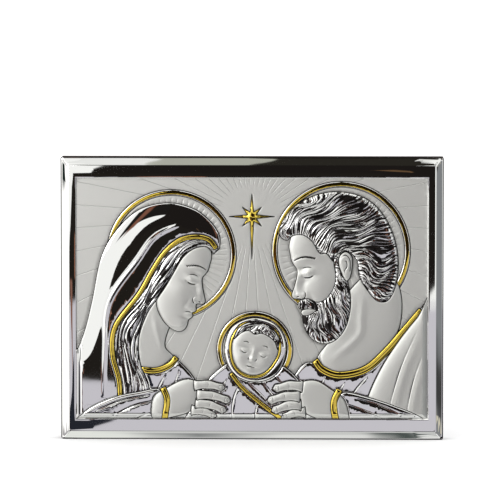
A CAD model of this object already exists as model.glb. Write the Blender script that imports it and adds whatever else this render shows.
"""The looks of a hanging plaque: an embossed sheet of silvered metal on a wooden board.

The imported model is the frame. The board keeps its solid and gets its stained finish, and one finely
embossed sheet takes the place of the plain one. A floor, a soft studio and the camera come last.

Everything is in metres, but the picture is drawn in units of about a millimetre and then stretched to
its field. X runs along the plaque, Z is up, the back is at Y = 0, and the picture faces -Y.
"""
import math

import bmesh
import bpy
import numpy as np
from mathutils import Matrix, Vector


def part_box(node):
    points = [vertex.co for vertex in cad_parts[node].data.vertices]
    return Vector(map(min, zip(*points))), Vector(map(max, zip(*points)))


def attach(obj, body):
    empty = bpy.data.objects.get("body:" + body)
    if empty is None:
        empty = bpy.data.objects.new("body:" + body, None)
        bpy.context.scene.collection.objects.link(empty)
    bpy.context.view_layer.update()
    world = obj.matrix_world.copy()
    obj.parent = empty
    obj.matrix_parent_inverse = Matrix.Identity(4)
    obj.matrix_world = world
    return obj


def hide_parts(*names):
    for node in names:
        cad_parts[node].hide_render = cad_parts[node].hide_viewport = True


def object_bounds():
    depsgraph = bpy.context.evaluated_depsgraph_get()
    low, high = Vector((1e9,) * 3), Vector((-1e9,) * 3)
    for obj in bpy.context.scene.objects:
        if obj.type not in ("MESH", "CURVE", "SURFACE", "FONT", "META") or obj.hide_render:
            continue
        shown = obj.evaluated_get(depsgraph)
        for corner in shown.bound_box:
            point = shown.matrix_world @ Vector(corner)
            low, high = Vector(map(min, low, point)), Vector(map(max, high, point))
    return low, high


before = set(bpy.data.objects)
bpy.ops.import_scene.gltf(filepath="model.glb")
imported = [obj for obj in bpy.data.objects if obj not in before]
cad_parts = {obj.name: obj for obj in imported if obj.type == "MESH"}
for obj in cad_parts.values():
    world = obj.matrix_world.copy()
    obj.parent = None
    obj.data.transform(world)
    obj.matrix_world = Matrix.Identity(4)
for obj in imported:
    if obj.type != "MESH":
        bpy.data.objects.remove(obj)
cad_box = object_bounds()
scene = bpy.context.scene


# The wooden board
# A flat board of close-grained wood, stained a dark red brown and lacquered all round. Its edges are
# eased, and the slot in its back, where the head of a nail goes, is milled and left rougher inside.

BOARD_STAIN = (0.034, 0.010, 0.008, 1.0)
BOARD_STAIN_PALE = (0.088, 0.026, 0.016, 1.0)
BOARD_PORE = (0.012, 0.004, 0.004, 1.0)
BOARD_SLOT_WOOD = (0.200, 0.105, 0.055, 1.0)
BOARD_BACK_SLOT_DEPTH = 0.0006

board_low, board_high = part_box("wooden_board")


def add(tree, kind, inputs=(), **settings):
    """Adds a shader node. Each input is a value, or the socket of another node to join to it."""
    made = tree.nodes.new(kind)
    for name, value in settings.items():
        setattr(made, name, value)
    for name, value in dict(inputs).items():
        if isinstance(value, bpy.types.NodeSocket):
            tree.links.new(value, made.inputs[name])
        else:
            made.inputs[name].default_value = value
    return made


def maths(tree, operation, *values, clamp=False):
    return add(tree, "ShaderNodeMath", dict(enumerate(values)), operation=operation,
               use_clamp=clamp).outputs[0]


def blend(tree, share, first, second, how="MIX"):
    """Mixes two colours."""
    made = add(tree, "ShaderNodeMix", data_type="RGBA", blend_type=how)
    for socket, value in zip((made.inputs[0], made.inputs[6], made.inputs[7]),
                             (share, first, second)):
        if isinstance(value, bpy.types.NodeSocket):
            tree.links.new(value, socket)
        else:
            socket.default_value = value
    return made.outputs[2]


def between(tree, value, low, high, to_low=0.0, to_high=1.0):
    """Maps the value from one span to another, softly at both ends."""
    return add(tree, "ShaderNodeMapRange",
               {"Value": value, "From Min": low, "From Max": high, "To Min": to_low,
                "To Max": to_high}, interpolation_type="SMOOTHSTEP").outputs[0]


def patchiness_group():
    """A soft, slow unevenness of any surface, such as stain that took unevenly or a foil's smudges."""
    group = bpy.data.node_groups.new("patchiness", "ShaderNodeTree")
    for name, kind, value in (("Scale", "NodeSocketFloat", 30.0),
                              ("Stretch", "NodeSocketVector", (1.0, 1.0, 1.0)),
                              ("Low", "NodeSocketFloat", 0.35), ("High", "NodeSocketFloat", 0.7)):
        socket = group.interface.new_socket(name, in_out="INPUT", socket_type=kind)
        socket.default_value = value
    group.interface.new_socket("Amount", in_out="OUTPUT", socket_type="NodeSocketFloat")
    start = add(group, "NodeGroupInput")
    place = add(group, "ShaderNodeTexCoord").outputs["Object"]
    stretched = add(group, "ShaderNodeVectorMath", {0: place, 1: start.outputs["Stretch"]},
                    operation="MULTIPLY")
    clouds = add(group, "ShaderNodeTexNoise",
                 {"Vector": stretched.outputs[0], "Scale": start.outputs["Scale"],
                  "Detail": 4.0, "Roughness": 0.55, "Distortion": 0.3})
    made = between(group, clouds.outputs[0], start.outputs["Low"], start.outputs["High"])
    add(group, "NodeGroupOutput", {"Amount": made})
    return group


patchiness = patchiness_group()


def patches(tree, scale, stretch=(1, 1, 1), low=0.35, high=0.7):
    made = add(tree, "ShaderNodeGroup", node_tree=patchiness)
    for name, value in (("Scale", scale), ("Stretch", stretch), ("Low", low), ("High", high)):
        made.inputs[name].default_value = value
    return made.outputs["Amount"]


def new_material(name):
    made = bpy.data.materials.new(name)
    made.use_nodes = True
    return made, made.node_tree, made.node_tree.nodes["Principled BSDF"]


def board_edge_wear(tree, place):
    """Paler where two of the board's faces meet: 0 on the faces, up to 0.6 on the edges."""
    middle, half = (board_low + board_high) / 2, (board_high - board_low) / 2
    off = add(tree, "ShaderNodeVectorMath", {0: place, 1: middle}, operation="SUBTRACT")
    sides = add(tree, "ShaderNodeSeparateXYZ", {0: off.outputs[0]}).outputs
    x, y, z = (maths(tree, "SUBTRACT", reach, maths(tree, "ABSOLUTE", side))
               for side, reach in zip(sides, half))
    second = maths(tree, "MAXIMUM", maths(tree, "MINIMUM", x, z),
                   maths(tree, "MINIMUM", maths(tree, "MAXIMUM", x, z), y))
    return between(tree, second, 0.0011, 0.0002, 0.0, 0.6)


def stained_wood():
    made, tree, shader = new_material("stained_board_wood")
    place = add(tree, "ShaderNodeTexCoord").outputs["Object"]
    turned = add(tree, "ShaderNodeMapping", {"Vector": place, "Scale": (6.0, 60.0, 60.0)})
    drift = add(tree, "ShaderNodeTexNoise",
                {"Vector": turned.outputs[0], "Scale": 1.0, "Detail": 2.0})
    bent = add(tree, "ShaderNodeVectorMath", {0: turned.outputs[0], 1: drift.outputs[1]},
               operation="ADD")
    years = add(tree, "ShaderNodeTexWave",
                {"Vector": bent.outputs[0], "Scale": 1.5, "Distortion": 2.2, "Detail": 2.0,
                 "Detail Scale": 0.5}, bands_direction="Z")
    fibres_at = add(tree, "ShaderNodeMapping", {"Vector": place, "Scale": (40.0, 900.0, 900.0)})
    fibres = add(tree, "ShaderNodeTexNoise",
                 {"Vector": fibres_at.outputs[0], "Scale": 1.0, "Detail": 5.0, "Roughness": 0.65})
    pores_at = add(tree, "ShaderNodeMapping", {"Vector": place, "Scale": (90.0, 1500.0, 1500.0)})
    pores = add(tree, "ShaderNodeTexNoise",
                {"Vector": pores_at.outputs[0], "Scale": 1.0, "Detail": 1.0})
    pore = between(tree, pores.outputs[0], 0.60, 0.70)
    tone = maths(tree, "MULTIPLY", years.outputs[1], 0.22)
    tone = maths(tree, "MULTIPLY_ADD", fibres.outputs[0], 0.55, tone)
    tone = maths(tree, "MULTIPLY_ADD", patches(tree, 9.0, (1, 1, 2)), 0.25, tone, clamp=True)
    colour = blend(tree, tone, BOARD_STAIN, BOARD_STAIN_PALE)
    colour = blend(tree, maths(tree, "MULTIPLY", pore, 0.8), colour, BOARD_PORE)
    depth = add(tree, "ShaderNodeSeparateXYZ", {0: place}).outputs[1]
    inside = between(tree, depth, -BOARD_BACK_SLOT_DEPTH, -2 * BOARD_BACK_SLOT_DEPTH)
    lengthways = add(tree, "ShaderNodeSeparateXYZ", {0: place})
    in_slot_x = between(tree, maths(tree, "ABSOLUTE", lengthways.outputs[0]), 0.0160, 0.0154)
    off_slot = maths(tree, "SUBTRACT", lengthways.outputs[2], SLOT_AT)
    in_slot_z = between(tree, maths(tree, "ABSOLUTE", off_slot), 0.0054, 0.0049)
    slot = maths(tree, "MULTIPLY", maths(tree, "MULTIPLY", in_slot_x, in_slot_z), inside)
    colour = blend(tree, maths(tree, "MULTIPLY", slot, 0.55), colour, BOARD_SLOT_WOOD)
    colour = blend(tree, board_edge_wear(tree, place), colour, BOARD_STAIN_PALE)
    rough = maths(tree, "MULTIPLY_ADD", fibres.outputs[0], 0.14, 0.30)
    rough = maths(tree, "MULTIPLY_ADD", slot, 0.35, rough)
    relief = maths(tree, "MULTIPLY_ADD", pore, -0.6, fibres.outputs[0])
    grain = add(tree, "ShaderNodeBump",
                {"Height": relief, "Strength": 0.35, "Distance": 0.00008})
    tree.links.new(colour, shader.inputs["Base Color"])
    tree.links.new(rough, shader.inputs["Roughness"])
    tree.links.new(grain.outputs[0], shader.inputs["Normal"])
    shader.inputs["Coat Weight"].default_value = 0.25
    shader.inputs["Coat Roughness"].default_value = 0.22
    return made


SLOT_AT = board_high.z - 0.030
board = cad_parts["wooden_board"]
board.data.materials.clear()
board.data.materials.append(stained_wood())


# The sheet's drawing
# The sheet is thin metal foil, pressed over a die with the picture cut in it, so the picture is one
# relief. It is built up here from back to front as heights on an even grid, each form with its finish.

DRAWING_WIDTH = 248.0
DRAWING_HEIGHT = 169.6
CELL = 0.4
SATIN = (0.0, 0.0)
POLISHED = (1.0, 0.0)
GILT = (1.0, 1.0)
OUTLINE_WIDTH = 0.42
TARNISH_REACH = 0.60


def smooth(points, closed=False, steps=7):
    """A smooth curve through the points, as short chords."""
    p = np.array(points, float)
    if closed:
        p = np.vstack([p[-1:], p, p[:2]])
    else:
        p = np.vstack([2 * p[0] - p[1], p, 2 * p[-1] - p[-2]])
    t = np.linspace(0, 1, steps, endpoint=False)[:, None]
    chords = []
    for a, b, c, d in zip(p, p[1:], p[2:], p[3:]):
        cubic = t * (3 * (b - c) + d - a)
        chords.append(b + 0.5 * t * (c - a + t * (2 * a - 5 * b + 4 * c - d + cubic)))
    curve = np.vstack(chords)
    return curve if closed else np.vstack([curve, p[-2:-1]])


def evenly(line, count):
    """The line as so many points at even distances."""
    line = np.asarray(line, float)
    along = np.concatenate([[0], np.cumsum(np.hypot(*np.diff(line, axis=0).T))])
    at = np.linspace(0, along[-1], count)
    return np.column_stack([np.interp(at, along, line[:, 0]), np.interp(at, along, line[:, 1])])


def circle(centre, radius, count=97):
    a = np.linspace(0, 2 * math.pi, count)
    return np.column_stack([centre[0] + radius * np.cos(a), centre[1] + radius * np.sin(a)])


def sideways(line):
    """The unit vector to the left of the line at each of its points."""
    d = np.gradient(line, axis=0)
    d /= np.hypot(d[:, 0], d[:, 1])[:, None] + 1e-9
    return np.column_stack([-d[:, 1], d[:, 0]])


def ribbon(line, width):
    """The closed outline of a ribbon along the line."""
    line = np.asarray(line, float)
    half = sideways(line) * width / 2
    return np.vstack([line + half, (line - half)[::-1]])


class Embossing:
    """The foil's rise over the picture field, and how polished, gilt and tarnished each place is."""

    def __init__(self):
        self.columns = round(DRAWING_WIDTH / CELL) + 1
        self.rows = round(DRAWING_HEIGHT / CELL) + 1
        self.xs = np.linspace(-DRAWING_WIDTH / 2, DRAWING_WIDTH / 2, self.columns)
        self.ys = np.linspace(-DRAWING_HEIGHT / 2, DRAWING_HEIGHT / 2, self.rows)
        self.x, self.y = np.meshgrid(self.xs, self.ys)
        self.rise = np.zeros_like(self.x)
        self.polish = np.zeros_like(self.x)
        self.gilt = np.zeros_like(self.x)
        self.tarnish = np.zeros_like(self.x)
        self.sky = np.ones_like(self.x)
        self.hair = np.zeros_like(self.x)
        self.across = np.zeros_like(self.x)
        self.along = np.zeros_like(self.x)

    def window(self, line, margin):
        """The rows and columns that the line and a margin round it take up."""
        low, high = np.min(line, axis=0) - margin, np.max(line, axis=0) + margin
        columns = np.searchsorted(self.xs, [low[0], high[0]])
        rows = np.searchsorted(self.ys, [low[1], high[1]])
        return slice(rows[0], rows[1]), slice(columns[0], columns[1])

    def cover(self, outline, part, fine=4):
        """How much of each cell lies inside the outline, from 0 to 1."""
        xs, ys = self.xs[part[1]], self.ys[part[0]]
        step = CELL / fine
        first_x, first_y = xs[0] - CELL / 2 + step / 2, ys[0] - CELL / 2 + step / 2
        crossings = np.zeros((len(ys) * fine, len(xs) * fine + 1))
        for p, q in zip(outline, np.roll(outline, -1, axis=0)):
            low, high = sorted((p[1], q[1]))
            first = max(0, math.ceil((low - first_y) / step))
            last = min(len(crossings), math.ceil((high - first_y) / step))
            if first >= last:
                continue
            rows = np.arange(first, last)
            x = p[0] + (first_y + rows * step - p[1]) * (q[0] - p[0]) / (q[1] - p[1])
            columns = np.clip(np.ceil((x - first_x) / step), 0, crossings.shape[1] - 1)
            np.add.at(crossings, (rows, columns.astype(int)), 1)
        inside = np.cumsum(crossings, axis=1)[:, :-1] % 2
        return inside.reshape(len(ys), fine, len(xs), fine).mean(axis=(1, 3))

    def everywhere(self, outline):
        """The outline's cover over the whole field."""
        whole = np.zeros_like(self.rise)
        part = self.window(outline, 2 * CELL)
        whole[part] = self.cover(outline, part)
        return whole

    def softened(self, values, reach):
        """The values blurred, each place with its neighbours up to this reach."""
        n = max(1, round(reach / 3 / CELL))
        for axis in (0, 1, 0, 1, 0, 1):
            size = values.shape[axis]
            edges = [(0, 0), (0, 0)]
            edges[axis] = (n + 1, n)
            total = np.cumsum(np.pad(values, edges, mode="edge"), axis=axis)
            high = np.take(total, range(2 * n + 1, 2 * n + 1 + size), axis=axis)
            values = (high - np.take(total, range(size), axis=axis)) / (2 * n + 1)
        return values

    def lay(self, outline, base, rise, reach, finish, power=0.5, edge=0.5):
        """Lays a cushioned form over what is there: its edge at base, its top rise above it. A fine
        groove of depth edge runs round it."""
        part = self.window(outline, reach + 2 * CELL)
        cover = self.cover(outline, part)
        form = base + rise * np.clip(2 * self.softened(cover, reach) - 1, 0, 1) ** power
        self.rise[part] = self.rise[part] * (1 - cover) + form * cover
        self.polish[part] = self.polish[part] * (1 - cover) + finish[0] * cover
        self.gilt[part] = self.gilt[part] * (1 - cover) + finish[1] * cover
        self.tarnish[part] *= 1 - cover
        self.sky[part] *= 1 - cover
        self.hair[part] *= 1 - cover
        self.stroke(np.vstack([outline, outline[:1]]), OUTLINE_WIDTH, -edge, dark=1.0)
        return self.everywhere(outline)

    def near(self, line, reach):
        """Round the line: the window, each place's distance from it, and its share along it."""
        part = self.window(line, reach)
        x, y = self.x[part], self.y[part]
        nearest, share = np.full(x.shape, np.inf), np.zeros(x.shape)
        lengths = np.hypot(*np.diff(line, axis=0).T)
        done = 0.0
        for p, q, length in zip(line, line[1:], lengths):
            if length == 0:
                continue
            d = (q - p) / length
            s = np.clip((x - p[0]) * d[0] + (y - p[1]) * d[1], 0, length)
            away = np.hypot(x - p[0] - s * d[0], y - p[1] - s * d[1])
            share = np.where(away < nearest, (done + s) / lengths.sum(), share)
            nearest = np.minimum(away, nearest)
            done += length
        return part, nearest, share

    def stroke(self, line, width, height, fade=0.0, within=None, dark=0.0):
        """A ridge, or with a negative height a groove, that thins out towards its ends. What tarnish
        stays in a groove makes it dark."""
        part, away, share = self.near(np.asarray(line, float), 3 * max(width, TARNISH_REACH))
        ends = np.clip(np.minimum(share, 1 - share) / fade, 0, 1) ** 0.7 if fade else 1.0
        if within is not None:
            ends = ends * within[part]
        self.rise[part] += height * ends * np.exp(-((away / width) ** 2))
        if dark:
            stain = dark * ends * np.exp(-((away / max(width, TARNISH_REACH)) ** 2))
            self.tarnish[part] = np.maximum(self.tarnish[part], stain)

    def combed(self, lines, within, start):
        """Keeps how far across and along the strands, in millimetres, each place of the hair lies."""
        gaps = np.hypot(*np.diff(lines, axis=0).transpose(2, 0, 1))
        steps = np.hypot(*np.diff(lines, axis=1).transpose(2, 0, 1))
        count, points = lines.shape[:2]
        across = np.linspace(0, gaps.sum(axis=0).mean(), count)[:, None] + np.zeros(points) + start
        along = np.linspace(0, steps.sum(axis=1).mean(), points) + np.zeros((count, 1))
        columns = np.rint((lines[..., 0] - self.xs[0]) / CELL).astype(int)
        rows = np.rint((lines[..., 1] - self.ys[0]) / CELL).astype(int)
        near = (columns >= 0) & (columns < self.columns) & (rows >= 0) & (rows < self.rows)
        spot = (rows[near], columns[near])
        known, sums = np.zeros_like(self.x), [np.zeros_like(self.x) for _ in range(2)]
        np.add.at(known, spot, 1.0)
        for total, values in zip(sums, (across, along)):
            np.add.at(total, spot, values[near])
        found = [total / np.maximum(known, 1) for total in sums]
        known = np.minimum(known, 1)
        for reach in (1.5, 4.0, 12.0):
            weight = self.softened(known, reach)
            fill = (known == 0) & (weight > 1e-4)
            for values in found:
                spread = self.softened(values * known, reach) / np.maximum(weight, 1e-9)
                values[fill] = spread[fill]
            known[fill] = 1
        self.hair = np.maximum(self.hair, within)
        for kept, values in zip((self.across, self.along), found):
            kept[within > 0] = values[within > 0]

    def swell(self, at, radii, amount, turn, within):
        """A soft rise, or with a negative amount a hollow."""
        part = self.window(np.array([at]), 3 * max(radii))
        x, y = self.x[part] - at[0], self.y[part] - at[1]
        c, s = math.cos(turn), math.sin(turn)
        u, v = (x * c + y * s) / radii[0], (y * c - x * s) / radii[1]
        self.rise[part] += amount * np.exp(-u * u - v * v) * within[part]

    def folds(self, lines, within, width=1.6, depth=0.0):
        """Folds of cloth: each is a fine dark furrow, and in soft cloth it has a ridge beside it."""
        for line in lines:
            line = smooth(line)
            self.stroke(line, 0.5, -0.7, 0.45, within, dark=1.0)
            if depth:
                self.stroke(line + sideways(line) * width * 1.5, width, depth, 0.45, within)


picture = Embossing()


# The halos
# Each is a flat satin disc behind a head, with a raised polished rim that carries a gilt line, and
# fine engraved rays.

def ray(centre, angle, start, end):
    d = np.array([math.cos(angle), math.sin(angle)])
    return np.array([centre + d * start, centre + d * end])


def halo(at, radius, base, rays=60):
    at = np.array(at, float)
    picture.lay(circle(at, radius), base + 0.5, 0.6, 2.0, POLISHED)
    picture.lay(circle(at, radius - 4.0), base, 0.3, 2.0, SATIN, edge=0.4)
    part, away, _ = picture.near(circle(at, radius - 2.0), 2.0)
    picture.gilt[part] = np.maximum(picture.gilt[part], np.clip((1.4 - away) / 0.4, 0, 1))
    for k in range(rays):
        start = radius * (0.5 if k % 2 else 0.3)
        picture.stroke(ray(at, 2 * math.pi * k / rays, start, radius - 5.5), 0.42, -0.40, 0.1,
                       dark=0.0)


# The parents' heads
# Both are cut in profile to the same plain proportions: satin skin, with fine engraved lines for the
# eyes and lips. A place on a head is given in shares of its height, measured from the chin.

PROFILE = [
    (0.335, 0.76), (0.352, 0.66), (0.352, 0.60), (0.330, 0.535), (0.352, 0.47), (0.395, 0.395),
    (0.425, 0.345), (0.415, 0.312), (0.366, 0.296), (0.362, 0.272), (0.378, 0.232),
    (0.352, 0.205), (0.366, 0.172), (0.342, 0.132), (0.346, 0.085), (0.338, 0.040),
    (0.300, 0.004), (0.230, 0.000),
]
JAW_AND_SKULL = [
    (0.13, 0.045), (0.04, 0.13), (-0.01, 0.24), (-0.03, 0.36), (-0.05, 0.60), (-0.05, 0.88),
    (0.10, 0.93), (0.25, 0.87),
]
# Where, how wide and how high, how far it rises, and how far it leans, in degrees
FACE_SWELLS = [
    ((0.240, 0.700), (0.140, 0.100), 0.5, 0), ((0.270, 0.600), (0.100, 0.030), 0.7, 6),
    ((0.285, 0.535), (0.060, 0.030), -1.1, 0), ((0.245, 0.492), (0.050, 0.034), 1.15, 0),
    ((0.250, 0.430), (0.070, 0.020), -0.35, -12), ((0.375, 0.420), (0.035, 0.100), 0.8, 25),
    ((0.375, 0.330), (0.030, 0.026), 0.8, 0), ((0.325, 0.325), (0.024, 0.022), 0.6, 0),
    ((0.305, 0.410), (0.030, 0.070), -0.55, 20), ((0.180, 0.360), (0.100, 0.090), 1.0, 0),
    ((0.270, 0.270), (0.020, 0.050), -0.35, -15), ((0.335, 0.232), (0.040, 0.015), 0.7, 0),
    ((0.330, 0.176), (0.038, 0.018), 0.8, 0), ((0.310, 0.135), (0.045, 0.014), -0.6, 0),
    ((0.300, 0.062), (0.050, 0.045), 0.8, 0), ((0.080, 0.600), (0.050, 0.090), -0.4, 0),
]
FACE_MODELLING = 1.4
# A line, its width and its depth
FACE_LINES = [
    ([(0.310, 0.478), (0.282, 0.456), (0.240, 0.448), (0.188, 0.464)], 0.85, 0.90),
    ([(0.305, 0.518), (0.270, 0.536), (0.225, 0.530), (0.185, 0.505)], 0.45, 0.45),
    ([(0.362, 0.292), (0.338, 0.292), (0.318, 0.308), (0.312, 0.335), (0.324, 0.360)], 0.45, 0.70),
    ([(0.395, 0.312), (0.378, 0.322), (0.362, 0.312)], 0.55, 0.60),
    ([(0.356, 0.204), (0.325, 0.204), (0.295, 0.196), (0.272, 0.182)], 0.50, 0.90),
]


class Head:
    """Turns shares of a head's height into places on the drawing."""

    def __init__(self, at, size, bow, flip=1):
        self.at, self.size, self.bow, self.flip = at, size, bow, flip

    def __call__(self, points):
        c, s = math.cos(math.radians(self.bow)), math.sin(math.radians(self.bow))
        p = np.atleast_2d(np.array(points, float)) - (0, 0.5)
        x, y = p[:, 0] * c + p[:, 1] * s, p[:, 1] * c - p[:, 0] * s
        return np.column_stack([self.at[0] + self.flip * self.size * x,
                                self.at[1] + self.size * y])

    def then(self, points, more):
        """A line that starts on the head and goes on over the drawing."""
        return self(points).tolist() + list(more)


def face_in_profile(head, base, brow_hairs):
    inside = picture.lay(smooth(head(PROFILE + JAW_AND_SKULL), closed=True), base, 3.4,
                         0.24 * head.size, SATIN)
    for at, radii, amount, lean in FACE_SWELLS:
        turn = head.flip * math.radians(lean - head.bow)
        picture.swell(head(at)[0], (radii[0] * head.size, radii[1] * head.size),
                      FACE_MODELLING * amount, turn, inside)
    for line, width, depth in FACE_LINES:
        picture.stroke(smooth(head(line)), width, -depth, 0.3, inside, dark=1.0)
    for k in range(brow_hairs):
        t = k / (brow_hairs - 1)
        x = 0.335 - 0.16 * t
        y = 0.596 + 0.030 * math.sin(math.pi * (0.2 + 0.8 * t)) - 0.010 * t
        hair = [(x + 0.004, y - 0.010), (x - 0.014, y + 0.004), (x - 0.032, y + 0.006)]
        picture.stroke(smooth(head(hair)), 0.38, -0.45, 0.3, inside, dark=1.0)


def wavy(line, waves, size, start):
    """The line with a sideways wave that grows from its root."""
    share = np.linspace(0, 1, len(line))
    swing = size * np.clip(share * 4, 0, 1) * np.sin(2 * math.pi * (waves * share + start))
    return line + sideways(line) * swing[:, None]


def comb(guides, within, seed, locks, waves, wave, points=30, width=0.8, depth=1.0):
    """Hair: tapering furrows part it into locks, blended from guide to guide. The single strands are
    engraved by the material, along the same lines."""
    draw = np.random.RandomState(seed)
    guides = [evenly(smooth(line), points) for line in guides]
    last = len(guides) - 1

    def strand(place):
        i = min(int(place), last - 1)
        line = guides[i] + (place - i) * (guides[i + 1] - guides[i])
        return wavy(line, waves, wave, 0.35 * place + 0.03 * math.sin(9 * place))

    for k in range(1, locks):
        line = strand((k + draw.uniform(-0.25, 0.25)) / locks * last)
        share = draw.uniform(0.45, 0.9)
        first = int(draw.uniform(0, 1 - share) * points)
        picture.stroke(line[first:first + int(share * points) + 1], width, -depth, 0.35, within,
                       dark=1.0)
    lines = np.array([evenly(strand(place), 10 * points) for place in np.linspace(0, last, 60 * last)])
    picture.combed(lines, within, 50.0 * seed)


# The father
# Short waved hair and beard, cut strand by strand and polished, and a satin face. He has a polished
# tunic with a gilt collar, and a satin cloak over his shoulder.

def father():
    head = Head((60, 25), 86, 15, -1)
    halo((63, 34), 49, 0.4)
    neck = head.then([(0.24, 0.05), (0.16, -0.04)],
                     [(47, -40), (47, -47), (62, -54), (82, -48), (100, -30), (106, -10)])
    neck = smooth(neck + head([(-0.44, 0.22), (-0.3, 0.4)]).tolist(), closed=True)
    inside = picture.lay(neck, 1.4, 3.0, 18, SATIN)
    sinew = head.then([(-0.14, 0.20), (-0.08, 0.02), (-0.02, -0.12)], [(56, -44)])
    picture.stroke(smooth(sinew), 2.6, 0.9, 0.3, inside)
    tunic = smooth([(126, -2), (112, -18), (96, -34), (80, -47), (62, -52), (46, -46), (37, -46),
                    (28, -58), (20, -76), (16, -96), (112, -96), (130, -50)], closed=True)
    inside = picture.lay(tunic, 3.2, 0.6, 2.4, POLISHED)
    picture.folds([[(52, -54), (46, -68), (43, -88)], [(66, -58), (58, -72), (55, -90)],
                   [(82, -54), (70, -70), (66, -90)]], inside)
    collar = smooth([(44.5, -43.5), (50, -50), (62, -54), (80, -50), (95, -37), (108, -22),
                     (120, -8)])
    picture.lay(ribbon(collar, 5.0), 3.8, 1.3, 2.8, GILT)
    cloak = smooth([(130, 2), (117, -13), (105, -28), (92, -48), (82, -70), (76, -96),
                    (132, -96)], closed=True)
    inside = picture.lay(cloak, 3.4, 4.2, 16, SATIN, edge=0.6)
    picture.folds([[(117, -22), (104, -52), (94, -90)], [(122, -36), (113, -62), (108, -92)]],
                  inside, 2.6, 0.8)
    face_in_profile(head, 3.0, 17)

    hair = [(0.350, 0.79), (0.29, 0.815), (0.21, 0.80), (0.15, 0.73), (0.115, 0.62),
            (0.06, 0.60), (0.02, 0.52), (-0.02, 0.57), (-0.11, 0.58), (-0.165, 0.48),
            (-0.15, 0.36), (-0.18, 0.24), (-0.24, 0.12), (-0.33, 0.10), (-0.42, 0.20),
            (-0.49, 0.38), (-0.51, 0.60), (-0.46, 0.82), (-0.34, 0.98), (-0.14, 1.075),
            (0.06, 1.085), (0.24, 1.03), (0.36, 0.93), (0.395, 0.85)]
    inside = picture.lay(smooth(head(hair), closed=True), 3.6, 4.0, 16, POLISHED, edge=0.6)
    locks = [
        [(0.36, 0.79), (0.40, 0.88), (0.30, 1.00), (0.12, 1.06)],
        [(0.33, 0.79), (0.34, 0.88), (0.22, 0.97), (0.00, 1.06)],
        [(0.27, 0.80), (0.22, 0.92), (0.04, 0.98), (-0.18, 1.04)],
        [(0.20, 0.79), (0.08, 0.90), (-0.12, 0.92), (-0.32, 0.98)],
        [(0.14, 0.72), (0.02, 0.83), (-0.18, 0.83), (-0.42, 0.88)],
        [(0.10, 0.63), (-0.02, 0.74), (-0.20, 0.74), (-0.48, 0.76)],
        [(0.02, 0.55), (-0.08, 0.65), (-0.26, 0.63), (-0.50, 0.62)],
        [(-0.08, 0.58), (-0.20, 0.57), (-0.32, 0.48), (-0.49, 0.46)],
        [(-0.15, 0.50), (-0.22, 0.46), (-0.33, 0.34), (-0.46, 0.32)],
        [(-0.15, 0.38), (-0.20, 0.34), (-0.29, 0.22), (-0.40, 0.20)],
        [(-0.17, 0.26), (-0.21, 0.22), (-0.26, 0.14), (-0.33, 0.11)],
    ]
    comb([head(line) for line in locks], inside, 5, 26, waves=1.6, wave=1.4)

    beard = [(0.02, 0.52), (0.035, 0.40), (0.08, 0.31), (0.16, 0.245), (0.235, 0.235),
             (0.275, 0.262), (0.31, 0.282), (0.355, 0.288), (0.385, 0.262), (0.392, 0.225),
             (0.372, 0.204), (0.386, 0.155), (0.396, 0.09), (0.385, 0.01), (0.34, -0.070),
             (0.26, -0.115), (0.16, -0.100), (0.06, -0.02), (-0.015, 0.12), (-0.045, 0.26),
             (-0.045, 0.42), (-0.02, 0.55)]
    inside = picture.lay(smooth(head(beard), closed=True), 4.2, 3.0, 10, POLISHED, edge=0.6)
    curls = [
        [(-0.03, 0.54), (-0.035, 0.44), (0.00, 0.38)],
        [(0.00, 0.46), (-0.04, 0.34), (-0.03, 0.24)],
        [(0.03, 0.38), (0.00, 0.26), (-0.01, 0.13)],
        [(0.07, 0.31), (0.05, 0.17), (0.03, 0.03)],
        [(0.13, 0.26), (0.12, 0.10), (0.10, -0.05)],
        [(0.19, 0.23), (0.21, 0.07), (0.17, -0.09)],
        [(0.24, 0.17), (0.28, 0.04), (0.24, -0.11)],
        [(0.29, 0.13), (0.34, 0.03), (0.31, -0.09)],
        [(0.34, 0.13), (0.385, 0.06), (0.37, -0.03)],
    ]
    comb([head(line) for line in curls], inside, 8, 16, waves=1.4, wave=1.0, width=0.7, depth=0.8)
    moustache = [(0.362, 0.288), (0.392, 0.262), (0.394, 0.222), (0.360, 0.212), (0.315, 0.200),
                 (0.262, 0.165), (0.245, 0.190), (0.262, 0.245), (0.300, 0.280)]
    inside = picture.lay(smooth(head(moustache), closed=True), 6.4, 1.3, 3, POLISHED)
    hairs = [
        [(0.375, 0.285), (0.395, 0.255), (0.385, 0.222)],
        [(0.350, 0.285), (0.350, 0.250), (0.365, 0.215)],
        [(0.325, 0.282), (0.305, 0.245), (0.315, 0.205)],
        [(0.295, 0.270), (0.255, 0.225), (0.262, 0.175)],
    ]
    comb([head(line) for line in hairs], inside, 9, 4, waves=0.5, wave=0.3, width=0.5, depth=0.5)
    lip = [(0.370, 0.204), (0.390, 0.182), (0.372, 0.157), (0.320, 0.152), (0.262, 0.174),
           (0.316, 0.200)]
    picture.lay(smooth(head(lip), closed=True), 6.2, 0.9, 2.4, SATIN, edge=0.4)
    ear = [(-0.045, 0.56), (-0.10, 0.575), (-0.135, 0.52), (-0.115, 0.44), (-0.075, 0.36),
           (-0.035, 0.345), (-0.02, 0.40), (-0.015, 0.50)]
    inside = picture.lay(smooth(head(ear), closed=True), 4.8, 2.0, 4, SATIN)
    for line in ([(-0.035, 0.53), (-0.085, 0.55), (-0.112, 0.505), (-0.095, 0.43), (-0.068, 0.38)],
                 [(-0.05, 0.50), (-0.08, 0.50), (-0.075, 0.455), (-0.05, 0.43), (-0.05, 0.40)]):
        picture.stroke(smooth(head(line)), 0.5, -0.7, 0.2, inside, dark=1.0)


father()


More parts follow.
